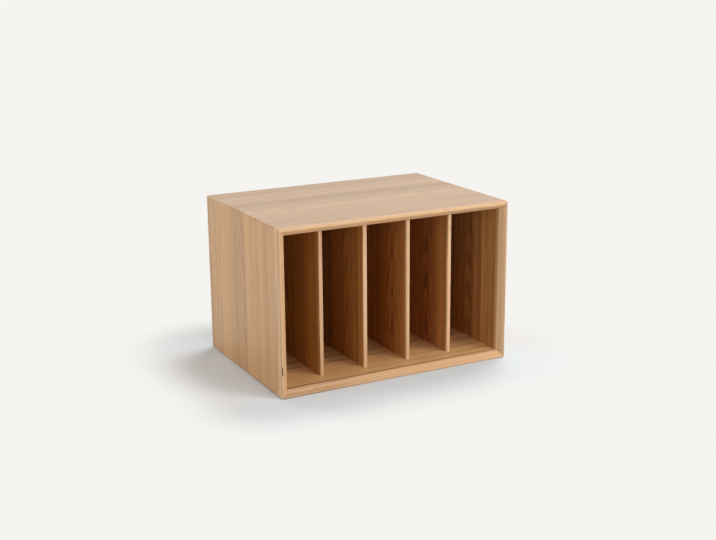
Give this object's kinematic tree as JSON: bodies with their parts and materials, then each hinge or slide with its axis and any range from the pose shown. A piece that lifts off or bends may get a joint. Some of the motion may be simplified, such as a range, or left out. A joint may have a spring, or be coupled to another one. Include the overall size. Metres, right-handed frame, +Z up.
{
  "type": "record storage stand",
  "caption": "Low open-fronted oak case with mitred corners, a bevelled front frame and thin upright dividers, for storing vinyl records on edge.",
  "frame": {"origin": "on the floor, below the middle of the case's overall box", "axes": "+Z up, the open front faces -Y, +X to the right seen from the front"},
  "size_m": [0.566, 0.4, 0.37],
  "materials": {
    "oak_boards": "oak veneer, matt lacquer",
    "solid_oak": "solid oak, matt lacquer",
    "oak_dividers": "oak veneer, matt lacquer",
    "oak_back": "oak-veneered back board, matt lacquer",
    "birch": "raw birch plywood",
    "screw_steel": "zinc-plated steel",
    "felt": "pressed wool felt",
    "walnut": "oiled dark wood"
  },
  "bodies": {
    "root": {"top_panel": "oak_boards", "bottom_panel": "oak_boards", "left_panel": "oak_boards", "right_panel": "oak_boards", "top_lipping": "solid_oak", "bottom_lipping": "solid_oak", "left_lipping": "solid_oak", "right_lipping": "solid_oak", "top_left_spline": "birch", "top_right_spline": "birch", "bottom_left_spline": "birch", "bottom_right_spline": "birch", "back_panel": "oak_back", "back_panel_screws": "screw_steel", "divider_1": "oak_dividers", "divider_2": "oak_dividers", "divider_3": "oak_dividers", "divider_4": "oak_dividers", "divider_1_edge": "solid_oak", "divider_2_edge": "solid_oak", "divider_3_edge": "solid_oak", "divider_4_edge": "solid_oak", "front_left_pad": "felt", "front_right_pad": "felt", "rear_left_pad": "felt", "rear_right_pad": "felt", "inlay": "walnut"}
  },
  "joints": []
}
